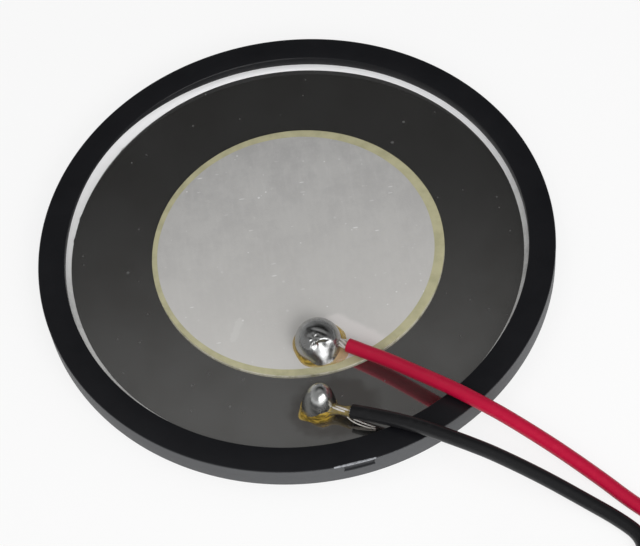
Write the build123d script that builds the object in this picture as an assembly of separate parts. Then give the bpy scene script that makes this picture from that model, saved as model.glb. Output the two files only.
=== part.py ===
from build123d import *
from math import cos, pi, radians, sin, sqrt, tan
import os

# Bare piezo sounder: a piezoelectric disc on a steel diaphragm, glued under the lip of a moulded ring,
# with a red and a black lead soldered on. Millimetres, +Z up. The origin is at the middle of the
# ring's underside, on the table. The leads leave to the right and towards the viewer.

# Diaphragm plate
plate_diameter = 41.0
plate_thickness = 0.2
plate_clearance = 0.15
plate_bond_thickness = 0.05

# Support ring, one moulding with a lip over the plate's edge and a rim round it
ring_height = 2.2
ring_rim_width = 1.35
lip_thickness = 1.15
lip_overlap = 0.75
ring_edge_chamfer = 0.12
lip_edge_chamfer = 0.08

# Adhesive bead in the corner between the lip's wall and the plate
bead_width = 0.48
bead_rise = 0.3

# Piezoceramic disc, cemented a little off the plate's middle
ceramic_diameter = 25.0
ceramic_thickness = 0.22
ceramic_offset = (0.12, -0.17)
ceramic_bond_thickness = 0.02
lower_electrode_margin = 0.3
upper_electrode_margin = 0.65
electrode_thickness = 0.015
upper_electrode_offset = (-0.21, -0.05)

# Stranded conductor of the leads: one middle strand with six round it
strand_diameter = 0.2
strand_lay_overlap = 0.02
outer_strand_count = 6

# Leads
lead_diameter = 1.2
lead_rest_height = lead_diameter / 2
tinned_diameter = 0.45
tinned_length = 4.5

# Positive joint, a dome of solder on the electrode: a ball that has sunk until its middle is low
positive_place = (0.6, -9.9)
positive_ball_radius = 1.92
positive_ball_height = 0.5
positive_pucker_place = (-0.34, -0.75)
positive_pucker_radius = 0.7
positive_pucker_depth = 0.08
positive_strands_length = 1.5
positive_flux_reach = 0.2
positive_flux_thickness = 0.16

# Negative joint, a bullet-shaped bead of solder on the plate
negative_place = (-0.12, -15.64)
negative_foot_radius = 1.43
negative_height = 3.0
negative_crown_radius = 0.85
negative_crown_rise = 35.0
negative_flank_bulge = 0.13
negative_strands_length = 2.4
negative_flux_reach = 0.2
negative_flux_rise = 0.55
negative_flux_crest = 0.06
negative_ridge_diameter = 1.0

# Two strands of the black lead that missed its joint and bend down to the plate
stray_count = 2
stray_spacing = 0.3
stray_bend_radius = 0.7

# Heights and places that follow from the sizes above
lip_underside = ring_height - lip_thickness
plate_top = lip_underside - plate_bond_thickness
ceramic_bond_top = plate_top + ceramic_bond_thickness
lower_electrode_top = ceramic_bond_top + electrode_thickness
ceramic_top = lower_electrode_top + ceramic_thickness
upper_electrode_top = ceramic_top + electrode_thickness
opening_radius = plate_diameter / 2 - lip_overlap
rebate_radius = plate_diameter / 2 + plate_clearance
ring_radius = rebate_radius + ring_rim_width
lower_electrode_diameter = ceramic_diameter - 2 * lower_electrode_margin
upper_electrode_diameter = ceramic_diameter - 2 * upper_electrode_margin
electrode_place = (
    ceramic_offset[0] + upper_electrode_offset[0],
    ceramic_offset[1] + upper_electrode_offset[1],
)

# Routes of the leads' free stretches, from the stripped end at the joint, over the ring's rim and
# down to the table. Each is a hand-chosen list of corners.
red_route = [
    (2.99, -10.95, 2.04),
    (5.79, -12.85, 2.60),
    (9.45, -15.62, 6.00),
    (13.70, -18.95, 6.00),
    (18.25, -22.78, 3.40),
    (22.95, -28.35, 0.85),
    (26.60, -31.45, lead_rest_height),
    (30.90, -34.16, lead_rest_height),
]
black_route = [
    (2.39, -17.21, 2.21),
    (3.81, -17.92, 2.64),
    (5.96, -19.00, 4.70),
    (9.05, -20.80, 4.70),
    (13.60, -23.35, 3.00),
    (18.90, -27.30, 1.15),
    (21.72, -31.40, lead_rest_height),
    (22.10, -36.00, lead_rest_height),
]
arc_share_of_run = 0.45

# Put-away turns of each lead, flat on the table. A spin of 1 turns to the left and -1 to the right.
coil_outer_turn_radius = 7.0
coil_lead_in_margin = 0.3
coil_tail_bend_radius = 3.2
red_coil_turns = 1.25
red_coil_spin = 1
black_coil_turns = 1.5
black_coil_spin = -1
coil_lead_in = sqrt(2 * coil_outer_turn_radius * lead_diameter) + coil_lead_in_margin


def largest(part: Part) -> Part:
    """The main solid of a cut piece, without the slivers that a cut leaves between strands."""
    return Part() + max(part.solids(), key=lambda solid: solid.volume)


def disc(diameter: float, bottom: float, top: float, place=(0.0, 0.0)) -> Part:
    """Flat round layer between two heights."""
    return Pos(place[0], place[1], bottom) * extrude(Circle(diameter / 2), top - bottom)


def make_frame_ring() -> Part:
    """Ring with its lip and the rebate under the lip."""
    section = Polygon(
        (opening_radius, lip_underside),
        (opening_radius, ring_height),
        (ring_radius, ring_height),
        (ring_radius, 0),
        (rebate_radius, 0),
        (rebate_radius, lip_underside),
        align=None,
    )
    outer_corners = section.vertices().filter_by_position(Axis.X, ring_radius - 0.01, ring_radius + 0.01)
    section = chamfer(outer_corners, ring_edge_chamfer)
    lip_corner = section.vertices().filter_by_position(Axis.X, opening_radius - 0.01, opening_radius + 0.01)
    section = chamfer(lip_corner.sort_by(Axis.Y)[-1], lip_edge_chamfer)
    return revolve(Plane.XZ * section, Axis.Z)


def make_plate_bond() -> Part:
    """Thin glue line between the lip's underside and the plate's edge."""
    seat = Circle(plate_diameter / 2) - Circle(opening_radius)
    return Pos(0, 0, plate_top) * extrude(seat, plate_bond_thickness)


def make_adhesive_bead() -> Part:
    """Fillet of silicone in the corner between the lip's wall and the plate."""
    toe = (opening_radius - bead_width, plate_top)
    crest = (opening_radius, plate_top + bead_rise)
    corner = (opening_radius, plate_top)
    return revolve(Plane.XZ * Polygon(toe, corner, crest, align=None), Axis.Z)


def make_positive_dome() -> Part:
    """Dome of solder cut off by the electrode, with the pucker where it set last."""
    top = (0, positive_ball_height + positive_ball_radius)
    belt = (positive_ball_radius, positive_ball_height)
    foot = (sqrt(positive_ball_radius**2 - positive_ball_height**2), 0)
    outline = Curve() + [ThreePointArc(top, belt, foot), Line(foot, (0, 0)), Line((0, 0), top)]
    dome = revolve(Plane.XZ * make_face(outline), Axis.Z)

    x, y = positive_pucker_place
    outwards = Vector(x, y, sqrt(positive_ball_radius**2 - x**2 - y**2)).normalized()
    reach = positive_ball_radius + positive_pucker_radius - positive_pucker_depth
    pucker = Pos(outwards * reach + Vector(0, 0, positive_ball_height)) * Sphere(positive_pucker_radius)
    return Pos(positive_place[0], positive_place[1], upper_electrode_top) * (dome - pucker)


def make_negative_bead() -> Part:
    """Bullet of solder, widest at its foot, with a small round crown."""
    crown_middle = negative_height - negative_crown_radius
    rise = radians(negative_crown_rise)
    middle_rise = (pi / 2 + rise) / 2
    top = (0, negative_height)
    crown = (
        negative_crown_radius * cos(middle_rise),
        crown_middle + negative_crown_radius * sin(middle_rise),
    )
    shoulder = (
        negative_crown_radius * cos(rise),
        crown_middle + negative_crown_radius * sin(rise),
    )
    foot = (negative_foot_radius, 0)
    flank = ((shoulder[0] + foot[0]) / 2 + negative_flank_bulge, shoulder[1] / 2)
    outline = Curve() + [
        ThreePointArc(top, crown, shoulder),
        ThreePointArc(shoulder, flank, foot),
        Line(foot, (0, 0)),
        Line((0, 0), top),
    ]
    bead = revolve(Plane.XZ * make_face(outline), Axis.Z)
    return Pos(negative_place[0], negative_place[1], plate_top) * bead


def make_strands(route: list, length: float) -> Part:
    """Stripped conductor from inside a joint to the insulation's cut end, in line with the lead."""
    end = Vector(*route[0])
    along = (Vector(*route[1]) - end).normalized()
    section = Circle(strand_diameter / 2)
    step = strand_diameter - strand_lay_overlap
    for i in range(outer_strand_count):
        turn = 2 * pi * i / outer_strand_count
        section += Pos(step * cos(turn), step * sin(turn)) * Circle(strand_diameter / 2)
    return extrude(Plane(origin=end - along * length, z_dir=along) * section, length)


def route_radii(route: list) -> list:
    """Radius of the arc at each corner, as large as the two runs beside it allow."""
    radii = []
    points = [Vector(*point) for point in route]
    for before, corner, after in zip(points, points[1:], points[2:]):
        arriving = corner - before
        leaving = after - corner
        half_turn = radians(arriving.get_angle(leaving)) / 2
        radii.append(arc_share_of_run * min(arriving.length, leaving.length) / tan(half_turn))
    return radii


def make_lead(name: str, route: list) -> Part:
    """Tube of a lead's free stretch, straight runs joined by tangent arcs."""
    radii = route_radii(route)
    path = FilletPolyline(*route, radius=radii)
    start = Plane(origin=path @ 0, z_dir=path % 0)
    tube = sweep(start * Circle(lead_diameter / 2), path=path)
    expected = pi * (lead_diameter / 2) ** 2 * path.length
    print(name, "radii", [round(radius, 1) for radius in radii], "length", round(path.length, 2))
    print(name, "volume", round(tube.volume, 3), "section times length", round(expected, 3))
    return tube


def coil_frame(route: list, spin: int) -> Location:
    """Place of a coil's middle, turned so that the lead arrives along +X at its near side."""
    last = Vector(*route[-1])
    heading = (last - Vector(*route[-2])).normalized()
    left = Vector(-heading.Y, heading.X, 0) * spin
    middle = last + heading * coil_lead_in + left * coil_outer_turn_radius
    angle = Vector(1, 0, 0).get_signed_angle(heading, Vector(0, 0, 1))
    return Pos(middle.X, middle.Y, 0) * Rot(0, 0, angle)


def tail_turn(spin: int, turns: float) -> Location:
    """Turn from the coil's far side, which half a turn reaches, to where the inner turn ends."""
    return Rot(0, 0, spin * 360 * (turns - 0.5))


def tail_middle(turns: float) -> float:
    """Distance from the coil's middle to the middle of the bend in its tail."""
    return coil_outer_turn_radius - turns * lead_diameter - coil_tail_bend_radius


def make_coil(route: list, spin: int, turns: float) -> Part:
    """Outer shape of the put-away turns, with the lead-in and the tail that turns into the hole."""
    half = lead_diameter / 2
    inner_turn_radius = coil_outer_turn_radius - turns * lead_diameter
    ring = Circle(coil_outer_turn_radius + half) - Circle(inner_turn_radius - half)
    lead_in = Pos(-coil_lead_in / 2, -spin * coil_outer_turn_radius) * Rectangle(coil_lead_in, lead_diameter)
    tail_ring = Circle(coil_tail_bend_radius + half) - Circle(coil_tail_bend_radius - half)
    tail_side = Pos(-coil_tail_bend_radius, spin * coil_tail_bend_radius)
    quarter = tail_side * Rectangle(2 * coil_tail_bend_radius, 2 * coil_tail_bend_radius)
    tail = tail_turn(spin, turns) * Pos(0, spin * tail_middle(turns)) * (tail_ring & quarter)
    outline = ring + lead_in + tail
    return coil_frame(route, spin) * extrude(outline, lead_diameter)


def make_tinned_end(route: list, spin: int, turns: float) -> Part:
    """Tinned tip of a lead, in the hole of its coil."""
    tip = Plane(
        origin=(-coil_tail_bend_radius, spin * tail_middle(turns), lead_rest_height),
        z_dir=(0, -spin, 0),
    )
    wire = extrude(tip * Circle(tinned_diameter / 2), tinned_length)
    return coil_frame(route, spin) * tail_turn(spin, turns) * wire


def make_positive_flux(solder: Part) -> Part:
    """Thin glassy skin of flux round the positive joint's foot."""
    skin = extrude(Circle(positive_ball_radius + positive_flux_reach), positive_flux_thickness)
    skin = chamfer(skin.edges().group_by(Axis.Z)[-1], positive_flux_thickness / 2)
    return Pos(positive_place[0], positive_place[1], upper_electrode_top) * skin - solder


def make_negative_flux(solder: Part, bundle: Part, strays: Part) -> Part:
    """Collar of flux round the bead's foot, with the ridge that it leaves along the strands."""
    toe = (negative_foot_radius + negative_flux_reach, 0)
    crest = (negative_foot_radius + negative_flux_crest, negative_flux_rise)
    collar = revolve(Plane.XZ * Polygon(toe, crest, (0, crest[1]), (0, 0), align=None), Axis.Z)
    collar = Pos(negative_place[0], negative_place[1], plate_top) * collar
    start = Vector(*black_route[0])
    along = (Vector(*black_route[1]) - start).normalized()
    ridge_plane = Plane(origin=start - along * negative_strands_length, z_dir=along)
    ridge = extrude(ridge_plane * Circle(negative_ridge_diameter / 2), negative_strands_length)
    return largest(collar + ridge - solder - bundle - strays)


def make_stray_strands(bundle: Part, lead: Part) -> Part:
    """Stray strands that leave the bundle at the insulation's end and bend under the lead."""
    start = Vector(*black_route[0])
    level = Vector(black_route[1][0] - start.X, black_route[1][1] - start.Y, 0).normalized()
    aside = Vector(level.Y, -level.X, 0)
    strays = Part()
    for i in range(stray_count):
        root = start - level * (0.25 + stray_spacing * i) - Vector(0, 0, 0.1)
        elbow = start + level * 0.35 + aside * (0.78 + stray_spacing * i) - Vector(0, 0, 0.3)
        tip = start + level * (2.1 - stray_spacing * i) + aside * 0.5
        tip = Vector(tip.X, tip.Y, plate_top + strand_diameter / 2)
        path = FilletPolyline(root, elbow, tip, radius=stray_bend_radius)
        stray = sweep(Plane(origin=path @ 0, z_dir=path % 0) * Circle(strand_diameter / 2), path=path)
        strays += largest(stray - bundle - lead)
    return strays


red_strands = make_strands(red_route, positive_strands_length)
black_strands = make_strands(black_route, negative_strands_length)
red_lead = make_lead("red_lead", red_route)
black_lead = make_lead("black_lead", black_route)
stray_strands = make_stray_strands(black_strands, black_lead)
positive_solder = make_positive_dome() - red_strands
negative_solder = make_negative_bead() - black_strands - stray_strands

nodes = {
    "frame_ring": make_frame_ring(),
    "diaphragm_plate": disc(plate_diameter, plate_top - plate_thickness, plate_top),
    "plate_bond": make_plate_bond(),
    "adhesive_bead": make_adhesive_bead(),
    "ceramic_bond": disc(ceramic_diameter, plate_top, ceramic_bond_top, ceramic_offset),
    "lower_electrode": disc(lower_electrode_diameter, ceramic_bond_top, lower_electrode_top, ceramic_offset),
    "ceramic_disc": disc(ceramic_diameter, lower_electrode_top, ceramic_top, ceramic_offset),
    "upper_electrode": disc(upper_electrode_diameter, ceramic_top, upper_electrode_top, electrode_place),
    "positive_solder_joint": positive_solder,
    "positive_flux": make_positive_flux(positive_solder),
    "negative_solder_joint": negative_solder,
    "negative_flux": make_negative_flux(negative_solder, black_strands, stray_strands),
    "red_strands": red_strands,
    "black_strands": black_strands,
    "black_stray_strands": stray_strands,
    "red_lead": red_lead,
    "black_lead": black_lead,
    "red_lead_coil": make_coil(red_route, red_coil_spin, red_coil_turns),
    "black_lead_coil": make_coil(black_route, black_coil_spin, black_coil_turns),
    "red_tinned_end": make_tinned_end(red_route, red_coil_spin, red_coil_turns),
    "black_tinned_end": make_tinned_end(black_route, black_coil_spin, black_coil_turns),
}

os.makedirs("parts", exist_ok=True)
for name, solid in nodes.items():
    solid.label = name
    export_step(solid, f"parts/{name}.step")
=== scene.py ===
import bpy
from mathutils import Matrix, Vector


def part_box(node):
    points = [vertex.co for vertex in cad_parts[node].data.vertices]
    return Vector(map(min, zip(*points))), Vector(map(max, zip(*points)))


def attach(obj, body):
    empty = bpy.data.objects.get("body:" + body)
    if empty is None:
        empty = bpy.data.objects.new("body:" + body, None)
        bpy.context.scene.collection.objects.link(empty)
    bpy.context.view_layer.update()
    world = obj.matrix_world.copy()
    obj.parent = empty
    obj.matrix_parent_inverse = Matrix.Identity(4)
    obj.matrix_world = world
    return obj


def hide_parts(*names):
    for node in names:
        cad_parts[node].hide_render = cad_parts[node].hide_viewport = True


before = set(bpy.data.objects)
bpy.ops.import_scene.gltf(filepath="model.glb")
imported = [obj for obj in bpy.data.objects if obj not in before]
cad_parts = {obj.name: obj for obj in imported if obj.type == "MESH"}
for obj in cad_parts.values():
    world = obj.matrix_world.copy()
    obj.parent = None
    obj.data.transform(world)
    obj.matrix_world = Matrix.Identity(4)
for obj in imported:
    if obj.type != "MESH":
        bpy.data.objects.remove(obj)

"""Looks of a bare piezo sounder: moulded ring, steel plate, ceramic disc, solder joints and leads.

Sizes in the classes are millimetres in the frame's own axes and become metres when a mesh is made.
"""

import logging
import math
import random
from dataclasses import dataclass
from enum import Enum
from typing import Callable, NamedTuple, Sequence, Union

import bmesh
import bpy
from mathutils import Matrix, Vector, noise

LOG = logging.getLogger("piezo_sounder")
MM = 0.001
BODY = "root"
Number = Union[int, float]
Span = tuple[float, float]
Triple = tuple[float, float, float]
Colour = Triple
Section = list[tuple[float, float]]
Pattern = tuple[float, ...]
"""Scale, detail and, where given, roughness of a noise, or scale, size and share of some specks."""


def node_box(node: str) -> tuple[Vector, Vector]:
    """Lowest and highest corner of a CAD node, in millimetres."""
    low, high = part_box(node)
    return Vector(low) / MM, Vector(high) / MM


RING_HIGH = node_box("frame_ring")[1]
PLATE_HIGH = node_box("diaphragm_plate")[1]
PLATE_TOP = PLATE_HIGH.z
BOND_TOP = node_box("plate_bond")[1].z
BEAD_LOW, BEAD_HIGH = node_box("adhesive_bead")
CERAMIC_LOW, CERAMIC_HIGH = node_box("ceramic_disc")
SILVER_LOW, SILVER_HIGH = node_box("upper_electrode")
SILVER_TOP = SILVER_HIGH.z
TABLE = 0.0
HAIR = 0.001
"""Gap that keeps a piece off the face under it."""
NOISE_SEED = 1
"""Fixes the noise vectors, which otherwise follow the clock."""
BETWEEN_JOINTS = (-13.4, -13.2)
"""Y over which the look of the joint on the plate gives way to that of the joint on the silver."""


class Signal:
    """One output of a shader tree. Arithmetic on it adds Math nodes."""

    def __init__(self, graph: "ShaderGraph", socket: bpy.types.NodeSocket) -> None:
        """Keep the tree and the output.

        Args:
            graph: The tree that the output is in.
            socket: The output itself.
        """
        self.graph = graph
        self.socket = socket

    def math(self, operation: str, *terms: "Term") -> "Signal":
        """Add one Math node.

        Args:
            operation: The node's operation.
            terms: The values or outputs that it takes, in order.

        Returns:
            The node's output.
        """
        made = self.graph.node("ShaderNodeMath", {"operation": operation}, dict(enumerate(terms)))
        return made["Value"]

    def __add__(self, other: "Term") -> "Signal":
        """Sum."""
        return self.math("ADD", self, other)

    __radd__ = __add__

    def __sub__(self, other: "Term") -> "Signal":
        """Difference."""
        return self.math("SUBTRACT", self, other)

    def __rsub__(self, other: "Term") -> "Signal":
        """Difference from a plain number."""
        return self.math("SUBTRACT", other, self)

    def __mul__(self, other: "Term") -> "Signal":
        """Product."""
        return self.math("MULTIPLY", self, other)

    __rmul__ = __mul__

    def maximum(self, other: "Term") -> "Signal":
        """The larger of two."""
        return self.math("MAXIMUM", self, other)

    def between(self, low: Number, high: Number) -> "Signal":
        """Smooth step from 0 at low to 1 at high, or down again where high is the smaller.

        Args:
            low: Where the step starts.
            high: Where it ends.

        Returns:
            The step, from 0 to 1.
        """
        settings = {"interpolation_type": "SMOOTHSTEP", "clamp": True}
        return self.graph.node("ShaderNodeMapRange", settings, {0: self, 1: low, 2: high})[0]


Term = Union[Signal, int, float]


class Outputs:
    """The outputs of one node, by name or number."""

    def __init__(self, graph: "ShaderGraph", node: bpy.types.Node) -> None:
        """Keep the tree and the node.

        Args:
            graph: The tree that the node is in.
            node: The node.
        """
        self.graph = graph
        self.node = node

    def __getitem__(self, key: Union[str, int]) -> Signal:
        """One output as a signal."""
        return Signal(self.graph, self.node.outputs[key])


class ShaderGraph:
    """A material's or the world's node tree, built from Python expressions."""

    def __init__(self, tree: bpy.types.NodeTree) -> None:
        """Empty the tree and keep it.

        Args:
            tree: The tree to build in.
        """
        self.tree = tree
        tree.nodes.clear()

    def node(self, kind: str, settings: dict, inputs: dict) -> Outputs:
        """Add any node.

        Args:
            kind: The node's type.
            settings: Its own properties, set before its sockets.
            inputs: Plain values or signals, by the socket's name or number.

        Returns:
            The node's outputs.
        """
        made = self.tree.nodes.new(kind)
        for name, value in settings.items():
            setattr(made, name, value)
        for key, value in inputs.items():
            if isinstance(value, Signal):
                self.tree.links.new(value.socket, made.inputs[key])
            else:
                made.inputs[key].default_value = value
        return Outputs(self, made)

    def vectors(self, operation: str, inputs: dict) -> Outputs:
        """Add one Vector Math node."""
        return self.node("ShaderNodeVectorMath", {"operation": operation}, inputs)

    def place(self) -> Signal:
        """Object coordinates in millimetres."""
        coordinates = self.node("ShaderNodeTexCoord", {}, {})["Object"]
        return self.vectors("SCALE", {0: coordinates, "Scale": 1 / MM})[0]

    def split(self, vector: Signal) -> tuple[Signal, Signal, Signal]:
        """The three parts of a vector."""
        made = self.node("ShaderNodeSeparateXYZ", {}, {0: vector})
        return made[0], made[1], made[2]

    def stretched(self, vector: Signal, factors: Triple) -> Signal:
        """A vector times a factor on each axis."""
        return self.vectors("MULTIPLY", {0: vector, 1: factors})[0]

    def centred(self, vector: Signal, centre: Sequence[float]) -> Signal:
        """A place measured from a centre."""
        return self.vectors("SUBTRACT", {0: vector, 1: tuple(centre)})[0]

    def length(self, vector: Signal) -> Signal:
        """Length of a vector."""
        return self.vectors("LENGTH", {0: vector})["Value"]

    def off_line(self, vector: Signal, start: Sequence[float], end: Sequence[float]) -> Signal:
        """Distance of a place from a straight line between two points.

        Args:
            vector: The place.
            start: One end.
            end: The other end.

        Returns:
            The distance.
        """
        first = Vector(start)
        run = Vector(end) - first
        offset = self.centred(vector, first)
        along = self.vectors("DOT_PRODUCT", {0: offset, 1: tuple(run / run.length_squared)})["Value"]
        share = along.math("MINIMUM", along.maximum(0), 1)
        nearest = self.vectors("SCALE", {0: tuple(run), "Scale": share})[0]
        return self.vectors("DISTANCE", {0: offset, 1: nearest})["Value"]

    def noise(self, vector: Signal, scale: float, detail: float = 3.0, roughness: float = 0.55) -> Signal:
        """Noise from 0 to 1.

        Args:
            vector: Where it is read.
            scale: Features for each unit of the vector.
            detail: Octaves.
            roughness: How strong the finer octaves are.

        Returns:
            The noise.
        """
        inputs = {"Vector": vector, "Scale": scale, "Detail": detail, "Roughness": roughness}
        return self.node("ShaderNodeTexNoise", {}, inputs)[0]

    def specks(self, vector: Signal, scale: float, size: float, share: float) -> Signal:
        """Sparse round specks.

        Args:
            vector: Where they are read.
            scale: Cells for each unit of the vector.
            size: Radius of a speck, as a share of its cell.
            share: Share of the cells that hold one.

        Returns:
            A mask, 1 on a speck.
        """
        cell = self.node("ShaderNodeTexVoronoi", {}, {"Vector": vector, "Scale": scale})
        chosen = self.split(cell["Color"])[0].between(1 - share, 1 - share + 0.01)
        return cell["Distance"].between(size, size * 0.6) * chosen

    def mixed(self, mask: Term, first: Union[Signal, Colour], second: Union[Signal, Colour]) -> Signal:
        """Blend of two colours.

        Args:
            mask: 0 for the first colour and 1 for the second.
            first: A colour.
            second: A colour.

        Returns:
            The blended colour.
        """
        pair = [c if isinstance(c, Signal) else (*c, 1.0) for c in (first, second)]
        return self.node("ShaderNodeMix", {"data_type": "RGBA"}, {0: mask, 6: pair[0], 7: pair[1]})[2]

    def bump(self, height: Signal, depth: float) -> Signal:
        """Normal of a fine relief.

        Args:
            height: The relief, from 0 to 1.
            depth: Its depth in millimetres.

        Returns:
            The normal.
        """
        inputs = {"Height": height, "Distance": depth * MM, "Strength": 1.0}
        return self.node("ShaderNodeBump", {}, inputs)[0]

    def surface(self, **inputs: Union[Signal, Number, Colour]) -> Signal:
        """Principled shader.

        Args:
            inputs: Its sockets, with underscores for spaces.

        Returns:
            The shader.
        """
        named = {}
        for name, value in inputs.items():
            plain = isinstance(value, tuple) and len(value) == 3
            named[name.replace("_", " ")] = (*value, 1.0) if plain else value
        return self.node("ShaderNodeBsdfPrincipled", {}, named)[0]

    def finish(self, shader: Signal, output: str = "ShaderNodeOutputMaterial") -> None:
        """Join the shader to the tree's output node."""
        self.node(output, {}, {0: shader})


@dataclass(frozen=True)
class Finish:
    """A surface finish. Each kind makes its own material."""

    name: str
    slot: str

    def shade(self, graph: ShaderGraph) -> Signal:
        """Build the shader of this finish."""
        raise NotImplementedError

    def material(self) -> bpy.types.Material:
        """The finish's material, made once.

        Returns:
            The material.
        """
        made = bpy.data.materials.get(self.name)
        if made is None:
            made = bpy.data.materials.new(self.name)
            made.use_nodes = True
            graph = ShaderGraph(made.node_tree)
            graph.finish(self.shade(graph))
        return made


@dataclass(frozen=True)
class MouldedBlack(Finish):
    """Black moulded plastic, glossy above and duller on its outer side, which is paler partly as painted
    light, with painted shade in the gate recess and a painted highlight above it.
    """

    face: Colour = (0.005, 0.0052, 0.0068)
    face_worn: Colour = (0.010, 0.0103, 0.0125)
    # Outer side: paler partly from its matt finish and partly as painted light.
    side: Colour = (0.057, 0.059, 0.063)
    side_dusty_painted_light: Colour = (0.035, 0.036, 0.038)
    # Painted shade in the gate recess.
    recess: Colour = (0.032, 0.033, 0.036)
    # Painted highlight along the ring's top edge above the gate recess.
    edge_painted_highlight: Colour = (0.30, 0.31, 0.33)
    side_radius: Span = (RING_HIGH.x - 0.31, RING_HIGH.x - 0.28)
    side_height: Span = (RING_HIGH.z - 0.005, RING_HIGH.z - 0.09)
    recess_radius: Span = (RING_HIGH.x - 0.07, RING_HIGH.x - 0.10)
    painted_highlight_start: Triple = (0.33, -21.99, RING_HIGH.z)
    painted_highlight_end: Triple = (3.60, -21.69, RING_HIGH.z)
    painted_highlight_reach: Span = (0.12, 0.07)
    painted_highlight_share: Span = (0.3, 0.55)
    painted_highlight_pattern: Pattern = (2.2, 3)
    clouds: Pattern = (0.35, 4)
    grain: Pattern = (9, 3)
    flow: Pattern = (1.1, 2)
    flow_strength: float = 2.5
    dust: float = 0.25
    face_roughness: float = 0.3
    side_roughness: float = 0.5
    cloud_roughness: float = 0.08
    grain_depth: float = 0.006
    ior: float = 1.49

    def shade(self, graph: ShaderGraph) -> Signal:
        """Build the shader of this finish.

        Args:
            graph: The material's empty tree.

        Returns:
            The shader.
        """
        place = graph.place()
        radial = graph.length(graph.stretched(place, (1, 1, 0)))
        height = graph.split(place)[2]
        side = radial.between(*self.side_radius) * height.between(*self.side_height)
        clouds = graph.noise(place, *self.clouds)
        grain = graph.noise(place, *self.grain)
        face = graph.mixed(clouds, self.face, self.face_worn)
        # The outer side's colour is paler partly as painted light.
        side_painted_light_and_shade = graph.mixed(grain * self.dust, self.side, self.side_dusty_painted_light)
        # Painted shade: the gate recess gets a darker colour.
        side_painted_light_and_shade = graph.mixed(radial.between(*self.recess_radius), side_painted_light_and_shade, self.recess)
        colour = graph.mixed(side, face, side_painted_light_and_shade)
        # Painted highlight: a pale line along the ring's top edge above the gate recess.
        edge_painted_highlight = graph.off_line(place, self.painted_highlight_start, self.painted_highlight_end).between(*self.painted_highlight_reach)
        edge_painted_highlight = edge_painted_highlight * graph.noise(place, *self.painted_highlight_pattern).between(*self.painted_highlight_share)
        colour = graph.mixed(edge_painted_highlight, colour, self.edge_painted_highlight)
        duller = self.side_roughness - self.face_roughness
        roughness = side * duller + self.face_roughness + clouds * self.cloud_roughness
        relief = graph.bump(grain + graph.noise(place, *self.flow) * self.flow_strength, self.grain_depth)
        return graph.surface(Base_Color=colour, Roughness=roughness, Normal=relief, IOR=self.ior)


@dataclass(frozen=True)
class RolledSteel(Finish):
    """Bright steel sheet with a faint rolling grain, small specks and a heat stain round its joint."""

    colour: Colour = (0.62, 0.615, 0.60)
    stained: Colour = (0.53, 0.52, 0.50)
    scorched: Colour = (0.34, 0.315, 0.295)
    speck: Colour = (0.8, 0.8, 0.8)
    scorch_middle: Triple = (1.1, -15.9, 1.0)
    scorch_stretch: Triple = (0.27, 0.37, 0.0)
    scorch_reach: Span = (1.4, 1.05)
    scorch_edge: Pattern = (0.9, 3)
    scorch_raggedness: float = 0.5
    scorch_strength: float = 0.7
    rolling: Triple = (5.0, 0.25, 1.0)
    grain: Pattern = (1.0, 4, 0.6)
    stain: Pattern = (0.16, 4)
    stain_share: Span = (0.35, 0.75)
    specks: Pattern = (0.7, 0.12, 0.25)
    fine_specks: Pattern = (2.2, 0.2, 0.03)
    speck_strength: float = 0.5
    metallic: float = 0.96
    roughness: float = 0.045
    grain_roughness: float = 0.06
    speck_roughness: float = 0.3
    stain_roughness: float = 0.04
    grain_depth: float = 0.002

    def shade(self, graph: ShaderGraph) -> Signal:
        """Build the shader of this finish.

        Args:
            graph: The material's empty tree.

        Returns:
            The shader.
        """
        place = graph.place()
        grain = graph.noise(graph.stretched(place, self.rolling), *self.grain)
        stain = graph.noise(place, *self.stain)
        specks = graph.specks(place, *self.specks).maximum(graph.specks(place, *self.fine_specks))
        from_joint = graph.stretched(graph.centred(place, self.scorch_middle), self.scorch_stretch)
        ragged = graph.noise(place, *self.scorch_edge) * self.scorch_raggedness
        scorch = (graph.length(from_joint) + ragged).between(*self.scorch_reach)
        colour = graph.mixed(stain.between(*self.stain_share), self.colour, self.stained)
        colour = graph.mixed(scorch * self.scorch_strength, colour, self.scorched)
        colour = graph.mixed(specks * self.speck_strength, colour, self.speck)
        roughness = self.roughness + grain * self.grain_roughness + specks * self.speck_roughness
        roughness = roughness + stain * self.stain_roughness
        relief = graph.bump(grain, self.grain_depth)
        return graph.surface(
            Base_Color=colour, Metallic=self.metallic, Roughness=roughness, Normal=relief
        )


@dataclass(frozen=True)
class Silicone(Finish):
    """Pale satin silicone, soiled in patches, with painted light making the far side paler and less
    patchy.
    """

    colour: Colour = (0.60, 0.60, 0.59)
    soiled: Colour = (0.40, 0.40, 0.39)
    # Painted light: paler colour on the far side.
    far_painted_light: Colour = (0.86, 0.86, 0.87)
    far_side: Span = (-6, 16)
    far_painted_light_fade: float = 0.7
    patches: Pattern = (0.5, 5, 0.65)
    patch_share: Span = (0.4, 0.75)
    skin: Pattern = (7, 3)
    skin_depth: float = 0.02
    skin_roughness: float = 0.15
    roughness: float = 0.38

    def shade(self, graph: ShaderGraph) -> Signal:
        """Build the shader of this finish.

        Args:
            graph: The material's empty tree.

        Returns:
            The shader.
        """
        place = graph.place()
        patches = graph.noise(place, *self.patches).between(*self.patch_share)
        skin = graph.noise(place, *self.skin)
        # Painted light: the far side is made paler and its soiled patches fade there.
        far = graph.split(place)[1].between(*self.far_side)
        colour = graph.mixed(patches * (1 - far * self.far_painted_light_fade), self.colour, self.soiled)
        colour = graph.mixed(far, colour, self.far_painted_light)
        roughness = self.roughness + skin * self.skin_roughness
        relief = graph.bump(skin, self.skin_depth)
        return graph.surface(Base_Color=colour, Roughness=roughness, Normal=relief)


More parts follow.
